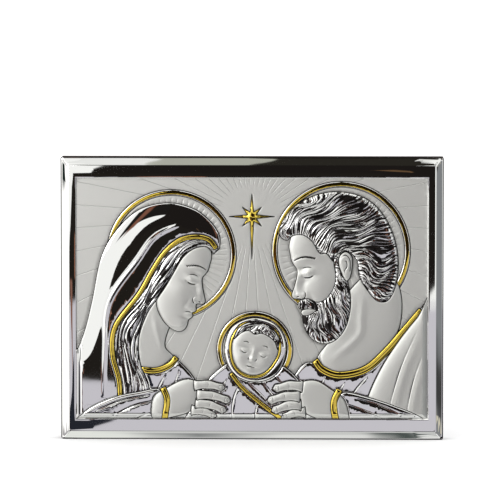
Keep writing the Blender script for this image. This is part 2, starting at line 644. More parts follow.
# The mother
# A smooth polished veil with a gilt hem falls from her head over her shoulder, and her long waved
# hair shows inside it. Her face and neck are satin, and her polished dress has a gilt neckline.

VEIL_LEAN = 0.018


def mother():
    head = Head((-60, 21), 78, 20)
    halo((-57, 31), 46, 0.4)
    neck = smooth([(-52, -8), (-59, -22), (-61.5, -34), (-55, -43), (-66, -51), (-90, -48),
                   (-96, -20), (-80, 6)], closed=True)
    inside = picture.lay(neck, 1.2, 2.4, 14, SATIN)
    picture.stroke(smooth([(-70, -10), (-66, -28), (-62, -40)]), 2.0, 0.6, 0.3, inside)
    dress = smooth([(-100, -30), (-84, -46), (-68, -50), (-56, -43), (-46, -50), (-38, -62),
                    (-34, -78), (-36, -96), (-100, -96)], closed=True)
    inside = picture.lay(dress, 2.8, 0.6, 2.0, POLISHED)
    picture.folds([[(-52, -50), (-56, -66), (-58, -86)], [(-62, -54), (-68, -68), (-70, -88)],
                   [(-44, -56), (-45, -68), (-44, -84)]], inside)
    collar = smooth([(-53.5, -41.5), (-58, -47), (-68, -51), (-82, -50)])
    picture.lay(ribbon(collar, 4.2), 3.6, 1.2, 2.4, GILT)
    face_in_profile(head, 2.6, 13)

    hairline = head.then([(0.350, 0.77), (0.27, 0.81), (0.17, 0.76), (0.10, 0.65), (0.07, 0.50),
                          (0.045, 0.36), (0.01, 0.22), (-0.03, 0.06)],
                         [(-80, -28), (-79, -46), (-73, -62), (-74, -80), (-78, -96)])
    hem = head.then([(0.375, 0.83), (0.29, 0.885), (0.17, 0.87), (0.04, 0.79), (-0.05, 0.64),
                     (-0.10, 0.44), (-0.14, 0.20)],
                    [(-95, -20), (-97, -40), (-92, -62), (-93, -96)])
    hairline, hem = smooth(hairline), smooth(hem)
    mantle = head.then([(0.385, 0.84), (0.34, 0.95), (0.22, 1.04), (0.04, 1.095), (-0.20, 1.065),
                        (-0.43, 0.91), (-0.56, 0.65), (-0.60, 0.38)],
                       [(-113, 0), (-119, -24), (-128, -46)])
    veil = np.vstack([smooth(mantle), [(-128, -96)], hairline[::-1]])
    inside = picture.lay(veil, 3.4, 2.6, 16, POLISHED, power=0.9, edge=0.6)
    picture.rise += inside * VEIL_LEAN * (60 - picture.y)
    ridge = head.then([(-0.02, 0.93), (-0.20, 0.74), (-0.28, 0.48)],
                      [(-101, -2), (-104, -34), (-105, -70)])
    picture.stroke(smooth(ridge), 1.2, 0.9, 0.4, inside)
    inside = picture.lay(np.vstack([hairline, hem[::-1]]), 3.6, 2.8, 9, POLISHED, edge=0.6)
    middle = 0.5 * (evenly(hairline, 40) + evenly(hem, 40))
    comb([evenly(hairline, 40), middle, evenly(hem, 40)], inside, 3, 7, waves=4.0, wave=1.0,
         points=90)
    picture.lay(ribbon(evenly(hem, 60) + (-1.6, 0.3), 3.4), 6.8, 0.9, 1.8, GILT)


mother()


# The star
# It has eight faceted points, the lowest of them long, and is gilt all over. From its place, fine rays
# are engraved over the whole satin sky behind the figures.

STAR_AT = (0.0, 58.0)
SKY_RAYS = 48


def star():
    points = []
    for k in range(16):
        a = math.radians(90 + 22.5 * k)
        tip = 30.0 if k == 8 else 9.5 if k % 4 else 16.0
        r = 3.4 if k % 2 else tip
        points.append((STAR_AT[0] + r * math.cos(a), STAR_AT[1] + r * math.sin(a)))
    picture.lay(np.array(points), 0.4, 4.2, 4.5, GILT, power=0.8)


star()


# The child
# A sleeping child, wrapped in two polished cloths with gilt hems. The satin face is a plain oval,
# seen from the front and leaning a little.

def child():
    at, size, lean = (2.0, -36.0), 18.5, math.radians(14)
    halo(at, 27, 1.2, 48)
    under = smooth([(-12, -44), (-28, -54), (-38, -70), (-44, -96), (44, -96), (30, -70),
                    (16, -50), (2, -52)], closed=True)
    inside = picture.lay(under, 4.0, 1.0, 3, POLISHED, edge=0.6)
    picture.folds([[(-8, -58), (-14, -74), (-14, -94)], [(-18, -56), (-26, -72), (-29, -92)],
                   [(4, -72), (2, -84), (4, -96)]], inside)
    over = smooth([(18, -46), (32, -56), (42, -74), (46, -96), (34, -96), (14, -82), (-6, -66),
                   (-16, -54), (-6, -52), (6, -50)], closed=True)
    inside = picture.lay(over, 5.2, 1.0, 3, POLISHED, edge=0.6)
    picture.folds([[(14, -52), (24, -64), (34, -84)], [(4, -54), (14, -68), (30, -88)],
                   [(-6, -56), (6, -68), (18, -80)]], inside)
    hem = smooth([(-16, -54), (-6, -66), (14, -82), (34, -96)]) + (1.0, 1.2)
    picture.lay(ribbon(hem, 2.8), 6.0, 0.8, 1.6, GILT, edge=0.45)
    shawl = smooth([(22.5, 2), (16, 17), (-1, 22.5), (-17, 15), (-21.5, -3), (-14, -18),
                    (2, -23), (17, -16)], closed=True)
    picture.lay(shawl + at, 4.8, 3.0, 8, POLISHED, edge=0.6)

    def place(points):
        p = np.atleast_2d(np.array(points, float)) * size
        c, s = math.cos(lean), math.sin(lean)
        return np.column_stack([at[0] + p[:, 0] * c + p[:, 1] * s,
                                at[1] + p[:, 1] * c - p[:, 0] * s])

    half = [(-0.62, 0.80), (-0.88, 0.25), (-0.84, -0.25), (-0.55, -0.78)]
    oval = [(0, 0.98)] + half + [(0, -1.0)] + [(-x, y) for x, y in reversed(half)]
    picture.lay(smooth(place(np.array(oval) * 1.11), closed=True), 6.6, 0.9, 1.8, GILT, edge=0.45)
    inside = picture.lay(smooth(place(oval), closed=True), 5.6, 3.4, 10, SATIN)

    def line(points, width, depth, fade=0.3):
        picture.stroke(smooth(place(points)), width, -depth, fade, inside, dark=1.0)

    for side in (-1, 1):
        for x, y, width, height, amount in ((0.36, 0.00, 0.22, 0.13, -1.0),
                                            (0.36, -0.09, 0.16, 0.10, 1.2),
                                            (0.46, -0.44, 0.26, 0.22, 1.0)):
            radii = (width * size, height * size)
            picture.swell(place((x * side, y))[0], radii, amount, -lean, inside)
    for y, width, height, amount in ((-0.35, 0.11, 0.10, 1.5), (-0.12, 0.09, 0.20, 0.8),
                                     (0.50, 0.50, 0.30, 0.5), (-0.60, 0.17, 0.05, 0.7),
                                     (-0.72, 0.13, 0.05, 0.7), (-0.88, 0.16, 0.08, 0.6)):
        picture.swell(place((0, y))[0], (width * size, height * size), amount, -lean, inside)
    for side in (-1, 1):
        line([(0.54 * side, -0.10), (0.45 * side, -0.17), (0.34 * side, -0.19),
              (0.20 * side, -0.12)], 0.45, 0.8)
        line([(0.56 * side, 0.16), (0.38 * side, 0.24), (0.20 * side, 0.18)], 0.42, 0.4)
        line([(0.13 * side, -0.30), (0.16 * side, -0.38), (0.08 * side, -0.43)], 0.42, 0.5)
    line([(-0.22, -0.63), (-0.07, -0.67), (0, -0.655), (0.07, -0.67), (0.22, -0.63)], 0.42, 0.7,
         0.2)
    hair = [(-0.86, 0.22), (-0.66, 0.50), (-0.40, 0.66), (-0.14, 0.58), (0.12, 0.68),
            (0.42, 0.62), (0.68, 0.48), (0.86, 0.22), (0.80, 0.66), (0.46, 0.96), (0.0, 1.06),
            (-0.46, 0.96), (-0.80, 0.66)]
    inside = picture.lay(smooth(place(hair), closed=True), 7.0, 2.2, 4, POLISHED)
    locks = [[(0.04, 1.04), (-0.40, 0.94), (-0.70, 0.66), (-0.86, 0.26)],
             [(0.06, 1.00), (-0.26, 0.84), (-0.50, 0.68), (-0.62, 0.50)],
             [(0.08, 0.98), (-0.06, 0.82), (-0.20, 0.70), (-0.26, 0.58)],
             [(0.12, 0.98), (0.10, 0.84), (0.08, 0.74), (0.10, 0.64)],
             [(0.16, 1.00), (0.30, 0.86), (0.38, 0.74), (0.42, 0.62)],
             [(0.18, 1.02), (0.46, 0.90), (0.68, 0.70), (0.84, 0.26)]]
    comb([place(lock) for lock in locks], inside, 12, 14, waves=1.0, wave=0.7, width=0.6, depth=0.8)


child()


# The hands
# Each parent's hand comes out of a polished sleeve with a gilt cuff and holds the child. The fingers
# are satin, with a fine crease at the joint and a cut nail.

def finger(root, tip, width, base, rise, bend):
    root, tip = np.array(root, float), np.array(tip, float)
    along = (tip - root) / np.hypot(*(tip - root))
    middle = (root + tip) / 2 + np.array([-along[1], along[0]]) * bend
    spine = smooth([root, middle, tip])
    share = np.linspace(0, 1, len(spine))
    half = width / 2 * (1.04 - 0.28 * share + 0.05 * np.cos(4 * math.pi * share))
    side = sideways(spine) * half[:, None]
    end = spine[-1] + along * width * 0.36
    outline = np.vstack([spine + side, [end], (spine - side)[::-1]])
    inside = picture.lay(smooth(evenly(outline, 26), closed=True, steps=4), base, rise,
                         width * 0.55, SATIN)
    joint, across = spine[len(spine) // 2], side[len(spine) // 2] * 0.8
    picture.stroke([joint + across, joint - across], 0.40, -0.30, 0.3, inside, dark=0.8)
    nail = evenly([spine[-2] - along * (1.3 - width * 0.10), spine[-2] + along * (0.9 + width * 0.1)], 4)
    nail = ribbon(nail, width * 0.42)
    picture.stroke(np.vstack([nail, nail[:1]]), 0.35, -0.35, 0.0, inside, dark=0.8)


def hand(sleeve, folds, palm, fingers, width, bend, cuff, cuff_width, lift):
    inside = picture.lay(smooth(sleeve, closed=True), 6.6 + lift, 1.2, 3, POLISHED, edge=0.6)
    picture.folds(folds, inside)
    picture.lay(smooth(palm, closed=True), 5.4 + lift / 2, 2.8 + lift / 2, 9, SATIN)
    for root, tip in fingers:
        finger(root, tip, width, 6.4 + lift / 2, 2.2 + lift / 2, bend)
    picture.lay(ribbon(smooth(cuff), cuff_width), 7.6 + lift / 2, 1.0, 2.0 + lift / 2, GILT)


hand(sleeve=[(-128, -96), (-118, -80), (-98, -70), (-80, -66), (-66, -64), (-62, -72),
             (-62, -84), (-66, -96)],
     folds=[[(-68, -72), (-84, -76), (-104, -86)], [(-66, -80), (-80, -84), (-94, -94)],
            [(-72, -68), (-92, -72), (-112, -80)]],
     palm=[(-70, -86), (-70, -70), (-60, -63), (-49, -57.5), (-40, -58), (-36, -62), (-38, -72),
           (-44, -80), (-56, -84)],
     fingers=[((-43, -79), (-27, -83)), ((-40, -74), (-20, -79)), ((-39, -68), (-17, -72)),
              ((-41, -61.5), (-21, -63))],
     width=6.4, bend=1.4, cuff=[(-63, -63), (-60, -72), (-62, -86)], cuff_width=4.2, lift=0.0)
hand(sleeve=[(128, -96), (120, -84), (102, -76), (84, -70), (66, -66), (60, -72), (58, -84),
             (62, -96)],
     folds=[[(66, -74), (82, -80), (100, -88)], [(64, -84), (76, -90), (90, -97)],
            [(72, -70), (92, -76), (112, -86)]],
     palm=[(68, -90), (66, -72), (56, -64), (46, -58), (36, -58.5), (31, -63), (32, -73),
           (38, -81), (52, -87)],
     fingers=[((38, -80.5), (23, -84)), ((35, -75), (16, -79)), ((34, -69), (13, -72)),
              ((36, -62), (17, -63.5))],
     width=7.0, bend=-1.4, cuff=[(62, -64), (58, -74), (60, -90)], cuff_width=4.6, lift=0.4)


# The embossed sheet
# The foil is one piece. Round the picture it is pressed into a small step, a flat polished band, a
# bevel and a rolled rim, and its back is filled flat, where it is glued to the board. The foil is
# pinched together on the mitres, and its finish is satin, polished or gilt from place to place.

PANEL_WIDTH = 0.270
PANEL_HEIGHT = 0.200
SHEET_GAP = 0.0003
TRIM = 0.00001
CORNER_ROUND = 0.0016
RIM_SIDE = 0.0015
RIM_ROUND = 0.0010
BEVEL_WIDTH = 0.0050
BEVEL_RISE = 0.0025
BEVEL_SWELL = 0.35
BAND_CROWN = 0.00005
BAND_FALL = 0.00009
SIDE_BAND_WIDTH = 0.0046
TOP_BAND_WIDTH = 0.0085
STEP_WIDTH = 0.0008
FIELD_SINK = 0.0010
RELIEF_RISE = 0.0042
DRAWING_RISE = 10.0
THINNED_TRIANGLES = 136000
LONGEST_EDGE = 0.0030
SATIN_SILVER = (0.900, 0.900, 0.868, 1.0)
BRIGHT_SILVER = (0.930, 0.925, 0.915, 1.0)
GILDING = (0.960, 0.720, 0.120, 1.0)
TARNISH = (0.030, 0.027, 0.026, 1.0)
TARNISH_EDGE = (0.62, 0.84)
STRAND_WIDTH = 2.1
STRAND_HEIGHT = 0.00013

BAND_LEVEL = RIM_SIDE + RIM_ROUND + BEVEL_RISE
FIELD_LEVEL = BAND_LEVEL - FIELD_SINK
FIELD_WIDTH = PANEL_WIDTH - 2 * (RIM_ROUND + BEVEL_WIDTH + SIDE_BAND_WIDTH + STEP_WIDTH)
FIELD_HEIGHT = PANEL_HEIGHT - 2 * (RIM_ROUND + BEVEL_WIDTH + TOP_BAND_WIDTH + STEP_WIDTH)


def settle_edges(reach=3.6, left=0.24):
    """Lets the relief sink towards the field's edges, so that it stays under the band."""
    inwards = np.minimum(DRAWING_WIDTH / 2 - abs(picture.x), DRAWING_HEIGHT / 2 - abs(picture.y))
    t = np.clip(inwards / reach, 0, 1)
    picture.rise *= left + (1 - left) * t * t * (3 - 2 * t)


def extrude_ring(shape, edges, half_x, half_y, level):
    """Draws the sheet's open edge outwards to the next rectangle, and returns the new open edge."""
    low = max(abs(v.co.x) for e in edges for v in e.verts)
    high = max(abs(v.co.y) for e in edges for v in e.verts)
    made = bmesh.ops.extrude_edge_only(shape, edges=edges)["geom"]
    for vertex in (item for item in made if isinstance(item, bmesh.types.BMVert)):
        vertex.co = (vertex.co.x * half_x / low, vertex.co.y * half_y / high, level)
    return [item for item in made if isinstance(item, bmesh.types.BMEdge) and item.is_boundary]


def border_rings():
    """Half width, half height and level of each ring, from the field's edge outwards."""
    half_x, half_y = PANEL_WIDTH / 2 - TRIM, PANEL_HEIGHT / 2 - TRIM
    in_x, in_y = FIELD_WIDTH / 2, FIELD_HEIGHT / 2
    rings = []
    for t in (0.08, 0.25, 0.5, 0.75, 0.92, 1.0):
        rings.append((in_x + STEP_WIDTH * t, in_y + STEP_WIDTH * t,
                      FIELD_LEVEL + FIELD_SINK * (3 - 2 * t) * t * t))
    for t in (0.02, 0.06, 0.2, 0.4, 0.6, 0.8, 0.94, 0.98):
        crown = BAND_CROWN * math.sin(math.pi * t) - BAND_FALL * t
        rings.append((in_x + STEP_WIDTH + SIDE_BAND_WIDTH * t,
                      in_y + STEP_WIDTH + TOP_BAND_WIDTH * t, BAND_LEVEL + crown))
    for t in (0.0, 0.02, *np.linspace(0.08, 1.0, 12)):
        fall = (1 - BEVEL_SWELL) * t + BEVEL_SWELL * (1 - math.cos(t * math.pi / 2))
        inset = RIM_ROUND + BEVEL_WIDTH * (1 - t)
        rings.append((half_x - inset, half_y - inset,
                      BAND_LEVEL - BAND_FALL - (BEVEL_RISE - BAND_FALL) * fall))
    rim_steps = 6
    for k in range(1, rim_steps + 1):
        a = math.radians(90 * k / rim_steps)
        inset = RIM_ROUND * (1 - math.sin(a))
        rings.append((half_x - inset, half_y - inset, RIM_SIDE + RIM_ROUND * math.cos(a)))
    rings.append((half_x, half_y, RIM_SIDE / 2))
    rings.append((half_x, half_y, 0.0))
    return rings


def round_corners(places):
    """Rounds the sheet's four corners, most of all at the rim."""
    x, y = abs(places[:, 0]), abs(places[:, 1])
    inset = np.minimum(PANEL_WIDTH / 2 - x, PANEL_HEIGHT / 2 - y)
    depth = np.clip((inset - RIM_ROUND) / BEVEL_WIDTH, 0, 1)
    radius = CORNER_ROUND * (3 - 2 * depth) / 3 * (depth < 1)
    centre_x = PANEL_WIDTH / 2 - inset - radius
    centre_y = PANEL_HEIGHT / 2 - inset - radius
    u, v = x - centre_x, y - centre_y
    corner = (u > 0) & (v > 0)
    away = np.where(corner, np.maximum(np.hypot(u, v), 1e-9), 1)
    reach = np.where(corner, np.maximum(u, v) / away, 1)
    places[:, 0] = np.sign(places[:, 0]) * np.where(corner, centre_x + u * reach, x)
    places[:, 1] = np.sign(places[:, 1]) * np.where(corner, centre_y + v * reach, y)


def pinch_mitres(places):
    """Small pleats where the foil was folded together on the mitres of the bevel."""
    draw = np.random.RandomState(14)
    inner = np.array([PANEL_WIDTH / 2 - 0.0062, PANEL_HEIGHT / 2 - 0.0062])
    outer = np.array([PANEL_WIDTH / 2 - 0.0011, PANEL_HEIGHT / 2 - 0.0011])
    for sign in ((1, 1), (-1, 1), (-1, -1), (1, -1)):
        for k in range(5):
            start = (inner + draw.uniform(-0.0012, 0.0012, 2)) * sign
            end = (outer + draw.uniform(-0.0016, 0.0004, 2)) * sign
            along = (end - start) / np.hypot(*(end - start))
            off = places[:, :2] - start
            s = off @ along
            length = np.hypot(*(end - start))
            away = np.hypot(*(off - np.clip(s, 0, length)[:, None] * along).T)
            fade = np.clip(np.minimum(s, length - s) / (0.3 * length), 0, 1)
            height = draw.uniform(0.00006, 0.00016) * (-1 if k % 2 else 0.6)
            places[:, 2] += height * fade * np.exp(-((away / 0.00035) ** 2))


def whole_sheet():
    """The sheet at full detail: the pressed field, its border and its flat back."""
    shape = bmesh.new()
    bmesh.ops.create_grid(shape, x_segments=picture.columns - 1, y_segments=picture.rows - 1,
                          size=0.5)
    places = np.array([v.co[:2] for v in shape.verts])
    columns = np.rint((places[:, 0] + 0.5) * (picture.columns - 1)).astype(int)
    rows = np.rint((places[:, 1] + 0.5) * (picture.rows - 1)).astype(int)
    heights = FIELD_LEVEL + RELIEF_RISE / DRAWING_RISE * picture.rise[rows, columns]
    for vertex, height in zip(shape.verts, heights):
        vertex.co.x *= FIELD_WIDTH
        vertex.co.y *= FIELD_HEIGHT
        vertex.co.z = height
    edges = [e for e in shape.edges if e.is_boundary]
    for half_x, half_y, level in border_rings():
        edges = extrude_ring(shape, edges, half_x, half_y, level)
    bmesh.ops.contextual_create(shape, geom=edges)
    bmesh.ops.recalc_face_normals(shape, faces=shape.faces)
    bmesh.ops.triangulate(shape, faces=shape.faces)
    mesh = bpy.data.meshes.new("embossed_sheet_full")
    shape.to_mesh(mesh)
    shape.free()
    places = np.empty(3 * len(mesh.vertices))
    mesh.vertices.foreach_get("co", places)
    places = places.reshape(-1, 3)
    round_corners(places)
    pinch_mitres(places)
    top = board_low.y - SHEET_GAP
    upright = np.column_stack([places[:, 0], top - places[:, 2], places[:, 1]])
    mesh.vertices.foreach_set("co", upright.ravel())
    mesh.shade_smooth()
    return bpy.data.objects.new("embossed_sheet_full", mesh)


def with_modifiers(obj):
    """The object's mesh with its modifiers applied."""
    evaluated = obj.evaluated_get(bpy.context.evaluated_depsgraph_get())
    mesh = bpy.data.meshes.new_from_object(evaluated)
    obj.modifiers.clear()
    obj.data = mesh
    return mesh


def split_long_edges(mesh):
    """Splits the long edges that thinning left on the flat places of the front."""
    shape = bmesh.new()
    shape.from_mesh(mesh)
    back = board_low.y - SHEET_GAP - RIM_SIDE
    for _ in range(4):
        long = [e for e in shape.edges
                if e.calc_length() > LONGEST_EDGE and e.verts[0].co.y < back and e.verts[1].co.y < back]
        bmesh.ops.subdivide_edges(shape, edges=long, cuts=1)
        bmesh.ops.triangulate(shape, faces=[f for f in shape.faces if len(f.verts) > 3])
    shape.to_mesh(mesh)
    shape.free()


def at_points(mesh, *layers):
    """The values of each drawing layer at each point of the mesh, and whether it is in the field."""
    places = np.empty(3 * len(mesh.vertices))
    mesh.vertices.foreach_get("co", places)
    places = places.reshape(-1, 3)
    column = (places[:, 0] / FIELD_WIDTH + 0.5) * (picture.columns - 1)
    row = (places[:, 2] / FIELD_HEIGHT + 0.5) * (picture.rows - 1)
    i = np.clip(column.astype(int), 0, picture.columns - 2)
    j = np.clip(row.astype(int), 0, picture.rows - 2)
    u, v = np.clip(column - i, 0, 1), np.clip(row - j, 0, 1)
    inside = ((abs(places[:, 0]) < FIELD_WIDTH / 2) & (abs(places[:, 2]) < FIELD_HEIGHT / 2)
              & (places[:, 1] < board_low.y - SHEET_GAP - RIM_SIDE))
    found = []
    for values in layers:
        low = values[j, i] * (1 - u) + values[j, i + 1] * u
        high = values[j + 1, i] * (1 - u) + values[j + 1, i + 1] * u
        found.append(low * (1 - v) + high * v)
    return places, inside, found


def thinned(full):
    """The sheet with fewer triangles, set back on the drawing, and with the full one's shading."""
    thin = bpy.data.objects.new("embossed_sheet", full.data)
    for obj in (full, thin):
        scene.collection.objects.link(obj)
    fewer = thin.modifiers.new("fewer triangles", "DECIMATE")
    fewer.ratio = THINNED_TRIANGLES / len(full.data.polygons)
    mesh = with_modifiers(thin)
    mesh.name = "embossed_sheet"
    split_long_edges(mesh)
    places, inside, (rise,) = at_points(mesh, picture.rise)
    height = FIELD_LEVEL + RELIEF_RISE / DRAWING_RISE * rise
    places[:, 1] = np.where(inside, board_low.y - SHEET_GAP - height, places[:, 1])
    mesh.vertices.foreach_set("co", places.ravel())
    mesh.shade_smooth()
    shading = thin.modifiers.new("shading", "DATA_TRANSFER")
    shading.object = full
    shading.use_loop_data = True
    shading.data_types_loops = {"CUSTOM_NORMAL"}
    shading.loop_mapping = "POLYINTERP_NEAREST"
    with_modifiers(thin).name = "embossed_sheet"
    bpy.data.objects.remove(full, do_unlink=True)
    return thin


def hollows():
    """How deep each place lies in a groove, from 0 to 1, where the finish goes dull."""
    return np.clip((picture.softened(picture.rise, 2.0) - picture.rise) / 0.7, 0, 1)


def keep_finish(sheet):
    """Writes the finish of each place on the sheet's points: polish, gilt, tarnish and sky."""
    names = ("polish", "gilt", "tarnish", "hollow", "sky", "hair", "across", "along")
    _, _, found = at_points(sheet.data, picture.polish, picture.gilt, picture.tarnish, hollows(),
                            picture.sky, picture.hair, picture.across, picture.along)
    for name, values in zip(names, found):
        layer = sheet.data.attributes.new(name, "FLOAT", "POINT")
        layer.data.foreach_set("value", values.astype(np.float32))


def sky_rays(tree, place, sky):
    """The engraved rays: 1 on a ray, 0 between, from the angle round the star."""
    off = add(tree, "ShaderNodeVectorMath",
              {0: place, 1: (STAR_AT[0] * FIELD_WIDTH / DRAWING_WIDTH, 0.0,
                             STAR_AT[1] * FIELD_HEIGHT / DRAWING_HEIGHT)}, operation="SUBTRACT")
    side = add(tree, "ShaderNodeSeparateXYZ", {0: off.outputs[0]}).outputs
    level = add(tree, "ShaderNodeCombineXYZ", {"X": side[0], "Z": side[2]})
    far = add(tree, "ShaderNodeVectorMath", {0: level.outputs[0]}, operation="LENGTH").outputs[1]
    angle = maths(tree, "ARCTAN2", side[2], side[0])
    turns = maths(tree, "MULTIPLY_ADD", angle, SKY_RAYS / (2 * math.pi), SKY_RAYS)
    off_ray = maths(tree, "ABSOLUTE", maths(tree, "SUBTRACT", maths(tree, "FRACT", turns), 0.5))
    away = maths(tree, "MULTIPLY", maths(tree, "MULTIPLY", off_ray, far), 2 * math.pi / SKY_RAYS)
    line = between(tree, away, 0.00045, 0.00010)
    started = between(tree, far, 0.020, 0.026)
    return maths(tree, "MULTIPLY", maths(tree, "MULTIPLY", line, started), sky)


def strands(tree, across, along, hair):
    """Hair strands: the dark cuts between them, and their rounded height."""
    def clouds(wide, long, detail=0.0, shift=0.0):
        at = add(tree, "ShaderNodeCombineXYZ",
                 {"X": maths(tree, "DIVIDE", across, wide), "Y": maths(tree, "DIVIDE", along, long),
                  "Z": shift})
        return add(tree, "ShaderNodeTexNoise",
                   {"Vector": at.outputs[0], "Scale": 1.0, "Detail": detail}).outputs[0]

    wander = clouds(9.0, 24.0)
    phase = maths(tree, "MULTIPLY_ADD", across, 1 / STRAND_WIDTH,
                  maths(tree, "MULTIPLY", wander, 3.0))
    to_edge = maths(tree, "ABSOLUTE", maths(tree, "SUBTRACT", maths(tree, "FRACT", phase), 0.5))
    breadth = between(tree, clouds(1.6, 14.0, shift=3.0), 0.38, 0.66, 0.0, 0.24)
    cut = between(tree, maths(tree, "SUBTRACT", to_edge, breadth), 0.05, -0.02)
    fleck = between(tree, clouds(2.0, 11.0, shift=7.0), 0.615, 0.645)
    dark = maths(tree, "MULTIPLY", maths(tree, "MAXIMUM", cut, fleck), hair)
    height = maths(tree, "MULTIPLY_ADD", clouds(2.4, 22.0, 0.0, 11.0), 2.0,
                   between(tree, to_edge, 0.0, 0.5))
    return dark, maths(tree, "MULTIPLY", height, hair)


def silvered_foil():
    made, tree, shader = new_material("silvered_foil")
    place = add(tree, "ShaderNodeTexCoord").outputs["Object"]
    polish, gilt, tarnish, hollow, sky, hair, across, along = (
        add(tree, "ShaderNodeAttribute", attribute_name=name).outputs["Fac"]
        for name in ("polish", "gilt", "tarnish", "hollow", "sky", "hair", "across", "along"))
    sides = add(tree, "ShaderNodeSeparateXYZ", {0: place}).outputs
    beyond = [maths(tree, "GREATER_THAN", maths(tree, "ABSOLUTE", side), edge)
              for side, edge in ((sides[0], FIELD_WIDTH / 2), (sides[2], FIELD_HEIGHT / 2))]
    border = maths(tree, "MAXIMUM", *beyond)
    inner = maths(tree, "SUBTRACT", 1.0, border)
    polish = maths(tree, "MAXIMUM", between(tree, polish, 0.3, 0.7), border)
    gilt = maths(tree, "MULTIPLY", between(tree, gilt, 0.3, 0.7), inner)
    hair = maths(tree, "MULTIPLY", between(tree, hair, 0.6, 0.9), inner)
    cuts, strand_height = strands(tree, across, along, hair)
    stain = between(tree, tarnish, *TARNISH_EDGE)
    stain = maths(tree, "MAXIMUM", maths(tree, "MULTIPLY", stain, inner), cuts)
    rays = sky_rays(tree, place, maths(tree, "MULTIPLY", between(tree, sky, 0.6, 0.9), inner))
    satin = maths(tree, "SUBTRACT", 1.0, polish)
    to_rim = maths(tree, "MAXIMUM", *(
        maths(tree, "SUBTRACT", maths(tree, "ABSOLUTE", side), half)
        for side, half in ((sides[0], PANEL_WIDTH / 2), (sides[2], PANEL_HEIGHT / 2))))
    folded = between(tree, to_rim, -0.00090, -0.00065, 0.0, 0.96)
    smudges = patches(tree, 45.0, (1, 1, 1.6), 0.45, 0.75)
    silver = blend(tree, polish, SATIN_SILVER, BRIGHT_SILVER)
    colour = blend(tree, gilt, silver, GILDING)
    dull = maths(tree, "MULTIPLY", maths(tree, "MULTIPLY", hollow, inner), 0.35)
    dull = maths(tree, "MULTIPLY_ADD", rays, 0.30, dull)
    worn = maths(tree, "MAXIMUM", maths(tree, "MAXIMUM", dull, stain), folded)
    colour = blend(tree, worn, colour, TARNISH)
    rough = add(tree, "ShaderNodeMix", {0: polish, 2: 0.48, 3: 0.012}, data_type="FLOAT").outputs[0]
    rough = maths(tree, "MULTIPLY_ADD", smudges, 0.008, rough)
    rough = maths(tree, "MULTIPLY_ADD", stain, 0.25, rough)
    grain = add(tree, "ShaderNodeTexNoise", {"Vector": place, "Scale": 2600.0, "Detail": 2.0})
    grain_height = maths(tree, "MULTIPLY", maths(tree, "SUBTRACT", grain.outputs[0], 0.5), satin)
    frosting = add(tree, "ShaderNodeBump",
                   {"Height": grain_height, "Strength": 0.4, "Distance": 0.00006})
    engraved = add(tree, "ShaderNodeBump",
                   {"Height": rays, "Strength": 0.8, "Distance": 0.00012,
                    "Normal": frosting.outputs[0]}, invert=True)
    combed = add(tree, "ShaderNodeBump",
                 {"Height": strand_height, "Strength": 1.0, "Distance": STRAND_HEIGHT,
                  "Normal": engraved.outputs[0]})
    waves = add(tree, "ShaderNodeTexNoise", {"Vector": place, "Scale": 38.0, "Detail": 0.0})
    buckles = add(tree, "ShaderNodeBump",
                  {"Height": waves.outputs[0], "Strength": 0.5, "Distance": 0.00005,
                   "Normal": combed.outputs[0]})
    tree.links.new(colour, shader.inputs["Base Color"])
    tree.links.new(rough, shader.inputs["Roughness"])
    tree.links.new(buckles.outputs[0], shader.inputs["Normal"])
    shader.inputs["Metallic"].default_value = 1.0
    return made


settle_edges()
sheet = thinned(whole_sheet())
keep_finish(sheet)
sheet.data.materials.clear()
sheet.data.materials.append(silvered_foil())
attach(sheet, "root")
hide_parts("silver_sheet")


# The floor
# A plain pale sheet of card under the plaque, which stands on its long edge here.

FLOOR_SIZE = 120.0
FLOOR_COLOUR = (0.92, 0.92, 0.92, 1.0)


def floor():
    shape = bmesh.new()
    bmesh.ops.create_grid(shape, x_segments=4, y_segments=4, size=FLOOR_SIZE / 2,
                          matrix=Matrix.Translation((0, 0, cad_box[0].z)))
    mesh = bpy.data.meshes.new("floor")
    shape.to_mesh(mesh)
    shape.free()
    made = bpy.data.objects.new("floor", mesh)
    scene.collection.objects.link(made)
    card, _, shader = new_material("pale_card")
    shader.inputs["Base Color"].default_value = FLOOR_COLOUR
    shader.inputs["Roughness"].default_value = 0.8
    shader.inputs["Specular IOR Level"].default_value = 0.0
    made.data.materials.append(card)
    made.visible_glossy = False


floor()


# The studio
# White cloth all round, with soft lamps high on the left, a smaller one on the right, and dark gaps
# between them that the polished metal mirrors. Straight in front stands the dark camera.

def soft_card_group():
    """A four-sided card far off in the studio: 1 on it, 0 off it, soft between."""
    group = bpy.data.node_groups.new("soft_card", "ShaderNodeTree")
    for k in range(4):
        group.interface.new_socket(f"Side {k}", in_out="INPUT", socket_type="NodeSocketVector")
    group.interface.new_socket("Softness", in_out="INPUT", socket_type="NodeSocketFloat")
    group.interface.new_socket("Mask", in_out="OUTPUT", socket_type="NodeSocketFloat")
    start = add(group, "NodeGroupInput")
    way = add(group, "ShaderNodeTexCoord").outputs["Generated"]
    within = [add(group, "ShaderNodeVectorMath", {0: way, 1: start.outputs[f"Side {k}"]},
                  operation="DOT_PRODUCT").outputs["Value"] for k in range(4)]
    least = maths(group, "MINIMUM", maths(group, "MINIMUM", *within[:2]),
                  maths(group, "MINIMUM", *within[2:]))
    below = maths(group, "MULTIPLY", start.outputs["Softness"], -1.0)
    add(group, "NodeGroupOutput", {"Mask": between(group, least, below, start.outputs["Softness"])})
    return group


